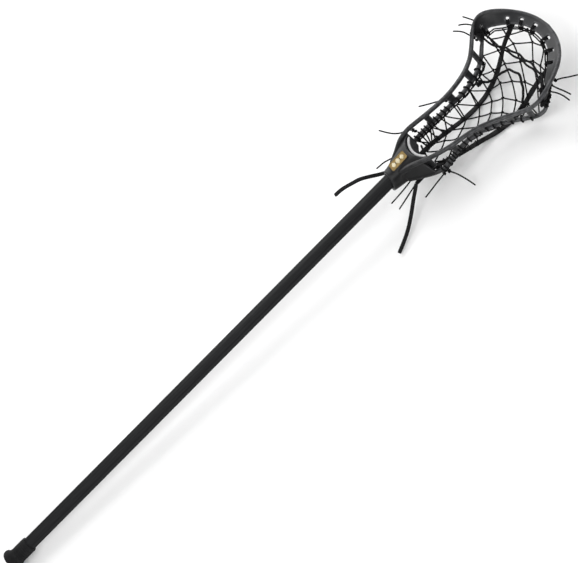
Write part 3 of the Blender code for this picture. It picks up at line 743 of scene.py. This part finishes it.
def make_screw(finish):
    """Pan-head screw with a domed head, a cross recess and a threaded shank."""
    seat, shank = SCREW_SEAT_Z - GAP, SCREW_SHANK_RADIUS
    top = seat - 2.4
    tip = -SHAFT_FLATS / 2 + SHAFT_WALL + 3.0
    profile = [(top, 0.05), (top + 0.04, 1.4), (top + 0.3, 2.5), (top + 0.9, 3.35), (top + 1.6, SCREW_HEAD_RADIUS),
               (seat - 0.15, SCREW_HEAD_RADIUS), (seat, SCREW_HEAD_RADIUS - 0.15), (seat, shank - 0.2)]
    z = seat + 0.3
    while z < tip - 1.6:
        profile += [(z, shank - 0.3), (z + 0.35, shank), (z + 0.7, shank - 0.3)]
        z += 0.8
    profile += [(tip - 0.4, 1.0), (tip, 0.2)]
    rings = [[(SCREW_X + radius * a, radius * b, z) for a, b in circle(40)] for z, radius in profile]
    screw = lofted("screw_body", rings)
    arms = []
    for length, width in ((2.1, 0.42), (0.42, 2.1)):
        corners = [(SCREW_X + a * length, b * width) for a, b in SQUARE]
        arms.append(lofted("recess", [[(x, y, z) for x, y in corners] for z in (top - 1, top + 1.1)]))
    cut(screw, *arms)
    mesh = screw.data
    mesh.name = "head_screw_pan"
    bpy.data.objects.remove(screw)
    mesh.shade_smooth()
    mesh.set_sharp_from_angle(angle=radians(40))
    show("head_screw_pan", mesh, finish, ("head_screw",), "screw")


# --- head ---

def wall_frame(station, side):
    """Bottom point, top point and outward direction of the wall at a station."""
    step = 0.03
    before, after = max(0.0, station - step), min(WALL_END, station + step)
    along = spline_point(TOP_RAIL, after) + spline_point(BOTTOM_RAIL, after)
    along -= spline_point(TOP_RAIL, before) + spline_point(BOTTOM_RAIL, before)
    if station >= WALL_END:
        along = Vector((0.0, -1.0, 0.0))
    top, bottom = spline_point(TOP_RAIL, station), spline_point(BOTTOM_RAIL, station)
    outward = (top - bottom).cross(along).normalized()
    for vector in (top, bottom, outward):
        vector.y *= side
    return bottom, top, outward


def wall_point(station, side, share, out):
    """A point of the wall: share is its height from bottom to top, out its distance from the middle surface."""
    bottom, top, outward = wall_frame(station, side)
    return bottom.lerp(top, share) + outward * out, outward


def both_sides(start, end, step):
    """Stations from one throat side round the scoop to the other, or one side's span twice."""
    count = ceil((end - start) / step)
    stations = [start + (end - start) * k / count for k in range(count + 1)]
    if end >= WALL_END:
        return [[(s, 1) for s in stations] + [(s, -1) for s in reversed(stations[:-1])]]
    return [[(s, side) for s in stations] for side in (1, -1)]


def rail_bar(name, at_top):
    """One rounded rail along the wall's edge, thinning into the scoop's rim."""
    rings = []
    for station, side in both_sides(WALL_START, WALL_END, 0.12)[0]:
        bottom, top, outward = wall_frame(station, side)
        upward = (top - bottom).normalized()
        scoop = ease(station, 12.5, 15.5)
        height = RAIL_HEIGHT * (1 - scoop) + (6.0 if at_top else 4.2) * scoop
        thick = (RAIL_THICKNESS + 0.5) * (1 - scoop) + (5.6 if at_top else 4.4) * scoop
        centre = top - upward * height / 2 if at_top else bottom + upward * height / 2
        rings.append([centre + outward * squared(a, 0.62) * thick / 2 + upward * squared(b, 0.62) * height / 2
                      for a, b in circle(14, 0.5)])
    return lofted(name, rings)


def web_panels():
    """The wall between the rails, in panels that leave out the windows and the string holes."""
    spans = []
    openings = sorted([(a, b, 0.0, 1.0) for a, b in WINDOWS] + [(a, b, *HOLE_ROWS) for a, b in STRING_HOLES])
    start = WALL_START
    for first, last, low, high in openings:
        spans.append((start, first, 0.04, 0.96))
        if low > 0:
            spans.append((first - 0.02, last + 0.02, 0.04, low))
            spans.append((first - 0.02, last + 0.02, high, 0.96))
        start = last
    spans.append((start, WALL_END, 0.04, 0.96))
    panels = []
    for first, last, low, high in spans:
        for columns in both_sides(first, last, 0.15):
            rings = []
            for station, side in columns:
                bottom, top, outward = wall_frame(station, side)
                half = (3.9 + 0.6 * ease(station, 13.0, 15.5)) / 2
                rings.append([bottom.lerp(top, row) + outward * half * sign
                              for row, sign in ((low, 1), (high, 1), (high, -1), (low, -1))])
            panels.append(lofted("web", rings))
    return panels


# Rings of the throat: X, half width, top, bottom, squareness and backward slant
THROAT = [(COLLAR_START, 13.6, 13.4, -13.6, 2.3, 0.42), (COLLAR_START + 1.6, 14.5, 14.3, -14.5, 2.3, 0.42),
          (COLLAR_START + 6, 15.0, 14.6, -15.2, 2.4, 0.42), (796, 17.0, 15.1, -16.4, 2.6, 0.14),
          (808, 20.2, 15.6, -17.4, 2.8, 0.0), (820, 25.0, 16.2, -18.8, 3.0, 0.0),
          (834, 30.0, 16.2, -20.6, 3.2, 0.0), (841, 31.5, 15.4, -21.4, 3.4, 0.0),
          (846.5, 32.0, 14.2, -21.8, 3.4, 0.0)]


def throat_solid():
    """The throat: a rounded loft with scooped flanks and a shallow keel under it."""
    rings = []
    for x, half_width, top, bottom, power, slant in spline(THROAT, 6):
        middle, half = (top + bottom) / 2, (top - bottom) / 2
        flank = ease(x, 792, 806) * (1 - ease(x, 838, 854))
        ring = []
        for a, b in circle(72, 0.5):
            width = half_width * squared(a, 2 / power)
            rise = half * squared(b, 2 / power)
            hollow = 3.6 * flank * max(0.0, 1 - (rise / (half * 0.62)) ** 2)
            width -= hollow * (1 if a > 0 else -1) * abs(a)
            if b < 0:
                rise += 1.6 * flank * (1 - max(0.0, 1 - abs(width) / 9.0)) * abs(b)
            ring.append((x + slant * (rise + half), width, middle + rise))
        rings.append(ring)
    throat = lofted("throat", rings)
    socket = lofted("socket", [octagon_ring(x, SHAFT_FLATS + 1.1, 0.1) for x in (COLLAR_START - 8, SHAFT_END + 1.0)])
    return cut(throat, socket, upright_cylinder("ball_wall", BALL_STOP_X, BALL_STOP_RADIUS + 0.15, -60.0, 60.0, 96),
               upright_cylinder("counterbore", SCREW_X, SCREW_HEAD_RADIUS + 0.9, -30.0, SCREW_SEAT_Z, 32),
               upright_cylinder("screw_hole", SCREW_X, SCREW_SHANK_RADIUS + 0.6, -30.0, 0.0, 24))


def badge_base(x):
    """Height of the badge's underside, on the throat's gentle slope."""
    return 15.3 + 0.043 * (x - 796.0) + GAP


def badge_outline(grow, lift, floor=None):
    """A ring of the badge's rounded outline, level with the slope under it or down at a floor height."""
    ring = []
    for cx, cy, first in ((823.5, 5.2, 0), (799.5, 5.2, 90), (799.5, -5.2, 180), (823.5, -5.2, 270)):
        for k in range(7):
            turn = radians(first + k * 15)
            x, y = cx + (2.5 + grow) * cos(turn), cy + (2.5 + grow) * sin(turn)
            ring.append((x, y, badge_base(x) + lift if floor is None else floor))
    return ring


def make_head(finish):
    """Rails, web and throat melted into one moulding with small fillets."""
    seat = lofted("seat", [badge_outline(0.6, 0.0, 12.0), badge_outline(0.3, -0.1)])
    parts = [seat, throat_solid(), rail_bar("top_rail", True), rail_bar("bottom_rail", False)] + web_panels()
    joined = bmesh.new()
    for part in parts:
        joined.from_mesh(part.data)
        bpy.data.objects.remove(part, do_unlink=True)
    mesh = bpy.data.meshes.new("head_moulding")
    joined.to_mesh(mesh)
    joined.free()
    item = placed("head_moulding", mesh)
    melt = item.modifiers.new("melt", "REMESH")
    melt.mode = "VOXEL"
    melt.voxel_size = 0.0008      # metres
    soften = item.modifiers.new("soften", "SMOOTH")
    soften.factor = 0.5
    soften.iterations = 4
    thin = item.modifiers.new("thin", "DECIMATE")
    thin.ratio = 0.6
    made = evaluated_mesh(item)
    bpy.data.objects.remove(item)
    made.shade_smooth()
    show("head_moulding", made, finish, ("head_frame",))


def make_badge(gold, cream, dark):
    """Plate with a raised border round a sunken field, a plain row of lozenges and two dark studs between them."""
    profile = ((-0.1, 0.0), (0.0, 0.15), (0.0, 0.75), (-0.25, 0.95), (-0.8, 0.95), (-1.0, 0.6), (-2.4, 0.58))
    plate = Build()
    plate.loft([badge_outline(grow, lift) for grow, lift in profile])
    plate.piece("throat_badge_plate", gold, ("throat_badge",), sharp=30)
    for name, finish, marks in (("throat_badge_lozenges", cream, ((803.6, 3.4), (811.5, 3.7), (819.4, 3.4))),
                                ("throat_badge_studs", dark, ((807.35, 1.0), (815.65, 1.0)))):
        build = Build()
        for x, reach in marks:
            mark = []
            for lift, share in ((0.35, 1.0), (0.95, 0.95), (1.15, 0.72)):
                ring = []
                for a, b in circle(24):
                    edge = x + squared(a, 1.5) * reach * share
                    ring.append((edge, squared(b, 1.5) * 1.4 * reach * share, badge_base(edge) + lift))
                mark.append(ring)
            build.rings(mark, [0.0, 1.0, 2.0])
        build.piece(name, finish, sharp=30)


def make_ball_stop(finish):
    """Foam pad on the round wall, with soft edges and a slight dish."""
    inner, thickness, reach, low, high = BALL_STOP_RADIUS - GAP, 4.5, 46.0, -16.0, 11.0
    middle, half = (low + high) / 2, (high - low) / 2
    rings, steps, sides = [], 44, 28
    for k in range(steps + 1):
        share = -1 + 2 * k / steps
        turn = radians(180 + reach * share)
        end = (1 - abs(share) ** 16) * 0.9 + 0.1
        ring = []
        for a, b in circle(sides):
            a, b = squared(a, 0.35), squared(b, 0.35)
            dish = 0.7 * (1 - b * b) if a > 0 else 0.0
            radius = inner - thickness / 2 - a * (thickness / 2 * end - dish * 0.5)
            ring.append((BALL_STOP_X + radius * cos(turn), radius * sin(turn), middle + b * half * (0.9 + 0.1 * end)))
        rings.append(ring)
    build = Build()
    build.rings(rings, [k * 1.3 for k in range(steps + 1)])
    pad = build.piece("ball_stop_pad", finish, ("ball_stop",), sharp=60)


# --- lacing ---

def make_thongs(finish):
    for side, points in (("left", THONG), ("right", mirrored(THONG))):
        build = Build()
        build.strap(spline(points, 5), THONG_WIDTH, THONG_THICKNESS, Vector((0.0, 1.0, 0.0)), 0.22)
        tail, end = Vector(THONG_TAILS["tail_thong_" + side][0]), Vector(points[-1])
        build.strap(spline([end + Vector((6, 0, -0.3)), end, end.lerp(tail, 0.55) + Vector((0, 0, -0.8)), tail], 6),
                    *THONG_TAIL_SECTION, 0.05)
        build.piece(side + "_thong_strap", finish, (side + "_thong",), sharp=50)


def scoop_point(station, side, inward, lift=0.0):
    bottom, top, outward = wall_frame(station, side)
    away = (bottom - top).normalized()
    return bottom + away * inward + outward * lift


NET_COLUMNS = 6
NET_START, NET_ROWS = 845.0, 16
STITCHES_START, STITCHES_END = 848.5, 988.0


def net_point(row, column):
    """A crossing of the net: rows run along the stick, columns across the pocket, out to the top string."""
    share, across = row / NET_ROWS, -1 + 2 * column / NET_COLUMNS
    end = scoop_point(21.0 - 4.4 * abs(across), 1 if across >= 0 else -1, 3.6)
    x = NET_START + (end.x - NET_START) * share ** 0.96
    edge = 4.5 if 0 < column < NET_COLUMNS else 0.5
    y = (bottom_rail_at(min(x, 1012.0)).y - edge) * across
    y += (end.y - y) * ease(share, 0.72, 1.0)
    if row < NET_ROWS:
        seed = Vector((row * 1.7, column * 2.3, 4.1))
        x += 5.6 * noise.noise(seed)
        if 0 < column < NET_COLUMNS:
            y += 6.0 * noise.noise(seed + Vector((9.0, 3.0, 1.0)))
    z = pocket_height(x, y) + 3.4
    return Vector((x, y, z + (end.z - z) * ease(share, 0.82, 1.0)))


def sagging(start, end, drop, count=5):
    """A short lace between two crossings, a little slack."""
    route = []
    for k in range(count + 1):
        part = k / count
        point = start.lerp(end, part)
        point.z -= drop * 4 * part * (1 - part)
        route.append(point)
    return route


def make_net(finish):
    build = Build()
    for row in range(NET_ROWS + 1):
        for column in range(NET_COLUMNS + 1):
            if (row + column) % 2:
                continue
            here = net_point(row, column)
            for way in (-1, 1):
                if row < NET_ROWS and 0 <= column + way <= NET_COLUMNS:
                    drop = 1.0 + 1.6 * noise.noise(here * 0.11 + Vector((way, 0, 0)))
                    build.lace(sagging(here, net_point(row + 1, column + way), drop), 1.4)
            if 0 < column < NET_COLUMNS and row > 0:
                build.knot(here, 1.7 + 0.5 * noise.noise(here), (noise.noise(here * 0.3), 0.3, 1.0), 0.95)
    build.piece("pocket_net", finish, ("cross_lace",))


def around_rail(station, side, lean):
    """Points of a turn of lace round the bottom rail's bar."""
    clear = LACE_RADIUS + 0.1
    bottom, top, outward = wall_frame(station, side)
    upward = (top - bottom).normalized()
    centre = bottom + upward * RAIL_HEIGHT / 2
    along = outward.cross(upward)
    points = []
    for k in range(17):
        turn = 2 * pi * k / 16 - pi / 2
        a, b = squared(cos(turn), 0.7), squared(sin(turn), 0.7)
        points.append(centre + outward * a * (RAIL_THICKNESS / 2 + clear)
                      + upward * b * (RAIL_HEIGHT / 2 + clear) + along * lean * k / 16)
    return points


def make_sidewall_laces(finish):
    """Irregular whip stitches round each bottom rail, a lace beside it, and a few slack laces to the thong."""
    for side_name, side in (("left", 1), ("right", -1)):
        build = Build()
        beside = []
        x, k = STITCHES_START, 0
        while x < STITCHES_END:
            chance = noise.noise(Vector((k * 1.37, side * 5.1, 0.4)))
            bottom, top, outward = wall_frame(station_at(x), side)
            build.lace(around_rail(station_at(x), side, 2.0 + 2.5 * chance), 1.3, 1.15)
            start = bottom - Vector((0, 0, LACE_RADIUS + 0.4)) - outward * 2.4
            build.knot(start, 2.0 + 0.8 * chance, (0.2, side * 0.5, 1.0), 0.95)
            beside += [start - outward * (0.8 + chance), start.lerp(bottom, 0.3) + Vector((4.0, 0, -0.8))]
            if k % 3 == 1 or x < 872.0 or (x < 892.0 and k % 2):
                shift = 14.0 * chance
                spread, depth = thong_at(x + shift)
                end = Vector((x + shift, side * (spread + THONG_WIDTH / 2), depth - 0.4))
                build.lace(sagging(start, end, 2.4 + 3 * chance, 8), 1.4)
                wrap = []
                for j in range(21):
                    turn = 2 * pi * j / 20
                    y = side * spread + cos(turn) * (THONG_WIDTH / 2 + 1.1)
                    wrap.append(Vector((x + shift + 1.2 * cos(turn / 2), y, depth + sin(turn) * 1.4 + 1.3)))
                build.lace(wrap, 1.3)
            k += 1
            x += (6.5 if x < 900.0 else 10.5) + 4.0 * chance
        build.lace(spline(beside, 4), 1.2)
        slack = [p + Vector((3.0, side * 0.8, -1.4 - 1.8 * noise.noise(p * 0.13))) for p in beside[1:-1]]
        build.lace(spline(slack, 4), 1.2)
        name = side_name + "_sidewall_lace"
        build.piece(name + "_stitches", finish, (name,))


def make_top_string(finish):
    """Doubled string along the scoop's inner edge, hung by loops through the string holes."""
    build = Build()
    anchors = [13.6, 14.25, 15.6, 16.6, 17.42, 18.1, 18.78, 19.45, 20.1]
    for inward, lift in ((2.4, 0.6), (5.4, -0.6)):
        points = [scoop_point(s, 1, inward + (0.9 if k % 2 else 0.0), lift) for k, s in enumerate(anchors)]
        points.append(scoop_point(21.0, 1, inward + 0.6, lift))
        route = points + [Vector((p.x, -p.y, p.z)) for p in reversed(points[:-1])]
        build.tube([p + Vector((0, 0, -1.2)) for p in route], LACE_RADIUS, 8, 0.06, 1.0)
    for station in (14.22, 17.42, 18.78, 20.1):
        for side in (1, -1):
            bottom, top, outward = wall_frame(station, side)
            away = (bottom - top).normalized()
            along = outward.cross(away).normalized()
            width = (top - bottom).length
            centre = bottom.lerp(top, 0.12) + away * 1.6
            for shift in (-1.4, 1.2):
                chance = noise.noise(Vector((station * 3.1, side * 2.0, shift)))
                reach = width * 0.13 + 2.6 + 1.2 * chance
                loop = []
                for a, b in circle(20):
                    a, b = squared(a, 0.75), squared(b, 0.75)
                    loop.append(centre + along * (shift + a * 2.2 * chance) + away * a * reach + outward * b * 3.6)
                build.lace(loop, 1.3, closed=True)
            build.knot(scoop_point(station, side, 4.4, 2.6), 2.6, (0.1, side * 0.2, 1.0), 1.0)
    build.piece("top_string_lace", finish, ("top_string",))


def make_throat_string(finish):
    """The cord that gathers the thongs' ends under the throat, with two knots."""
    points = [(846, 31.0, -28.0), (843, 22.0, -31.5), (841, 10.0, -31.0), (840, 0.0, -30.5)]
    build = Build()
    build.tube(spline(points + mirrored(points[-2::-1]), 6), STRING_RADIUS, 10, 0.08, 0.9)
    for side in (1, -1):
        build.knot((843, 21.5 * side, -30.6), 3.6, (0.3, side * 0.4, 1.0), 1.3)
        build.knot((838, 8.5 * side, -28.4), 3.0, (0.8, side * 0.4, 0.6), 1.2)
        for shift in (0.0, 2.6, 5.2):
            loop = [(832 + shift, side * 16.0 + 5.0 * a, -25.8 + 2.8 * b) for a, b in circle(20)]
            build.lace(loop, 1.2, closed=True)
    for name, y in (("tail_throat_a", -8.5), ("tail_throat_b", -14.0)):
        tail = Vector(LACE_TAILS[name][0])
        build.lace(spline([(839, y, -29.0), (824, y, -27.5), tail], 6), 1.0)
    build.piece("throat_string_cord", finish, ("throat_string",))


def woven(points, lift, wave, phase=0.0):
    """A string over the net, dipping between its rows and wandering a little, as a route from (x, y) points."""
    route = []
    for k, (x, y, _) in enumerate(spline([(x, y, 0.0) for x, y in points], 8)):
        rise = 9.0 * max(abs(y) - 50.0, 0.0) / 27.0
        x += 2.0 * wave * sin(k * 0.47 + phase)
        route.append(Vector((x, y, pocket_height(x, y) + lift + rise + wave * sin(k * 0.9 + phase))))
    return route


def make_shooting_strings(finish):
    """Two strings across the pocket, which cross near the left thong, and the short one between the thongs."""
    lift = THONG_THICKNESS / 2 + 2 * LACE_RADIUS + STRING_RADIUS + 3 * GAP + 1.2
    spacing = 2 * STRING_RADIUS + 4 * GAP
    for name, ahead in (("shooting_string_front", 1.0), ("shooting_string_rear", 0.0)):
        build = Build()
        points = []
        for x, y in SHOOTING_STRING:
            crossed = ease(y, 34.0, 58.0)
            points.append((x + spacing * (ahead + (1.0 - 2.0 * ahead) * crossed), y))
        route = woven(points, lift, 0.5, 2.0 * ahead)
        for point in route:
            point.z += 2.6 * ahead * (1 - min(abs(point.y - 46.0) / 14.0, 1.0))
        for side, end in ((1, route[0]), (-1, route[-1])):
            anchor, outward = wall_point(12.75 if ahead else 12.45, side, 0.72, 0.0)
            link = [end, end.lerp(anchor, 0.5) + Vector((0, 0, 1.0)), anchor - outward * 2.2, anchor + outward * 4.2]
            route = link[:0:-1] + route if side == 1 else route + link[1:]
            build.knot(anchor + outward * 5.4, 3.0, outward, 1.3)
            build.knot(end + Vector((0, 0, 0.6)), 2.6, (0.4, side * 0.6, 1.0), 1.3)
        build.tube(route, STRING_RADIUS * 1.15, 12, 0.10, 0.8, pitch=4.0)
        build.piece(name + "_cord", finish, (name,))
    build = Build()
    route = woven(V_STRING, lift + 1.6, 0.5)
    build.tube(route, STRING_RADIUS * 1.3, 12, 0.10, 0.8, pitch=4.0)
    for end in (route[0], route[-1]):
        build.knot(end, 3.4, (0.3, 0.4, 1.0), 1.45)
        build.knot(end + Vector((-4.0, 0, -1.5)), 2.8, (0.7, 0.2, 0.8), 1.3)
    build.piece("shooting_string_v_cord", finish, ("shooting_string_v",))


def make_rail_knots(finish):
    """Knots where the free ends leave the rails, and the wraps beside them."""
    build = Build()
    for name, points in LACE_TAILS.items():
        first, second = Vector(points[0]), Vector(points[1])
        back = (first - second).normalized()
        build.knot(first + back * 1.2, 2.4, back, 1.0)
        inside = first + back * 4.0
        inside.y *= 0.955
        build.knot(inside, 2.2, (0.5, 0.5, 0.7), 1.0)
    for station in (12.7, 13.2, 13.7, 14.6, 15.1):
        for side in (1, -1):
            anchor, outward = wall_point(station, side, 0.30, 3.6)
            build.knot(anchor, 2.8, outward, 1.15)
    build.piece("rail_knots", finish)


make_camera()
# The two colours of each cord are its painted shade in the grooves and its painted sheen on the strands' crowns.
lace = braided("lace", (0.003, 0.003, 0.0035), (0.010, 0.010, 0.011), 0.66)
string = braided("string", (0.0035, 0.0035, 0.004), (0.012, 0.012, 0.013), 0.70)
leather = strap_leather()
make_tails(string, leather)
make_studio()

plastic = moulded_plastic()
make_shaft(shaft_alloy())
make_butt_cap(cap_rubber())
make_screw(black_steel())
make_head(plastic)
make_badge(brushed_gold(), cream_enamel(), plastic)
make_ball_stop(closed_cell_foam())
make_thongs(leather)
make_net(lace)
make_sidewall_laces(lace)
make_top_string(lace)
make_throat_string(lace)
make_shooting_strings(string)
make_rail_knots(string)
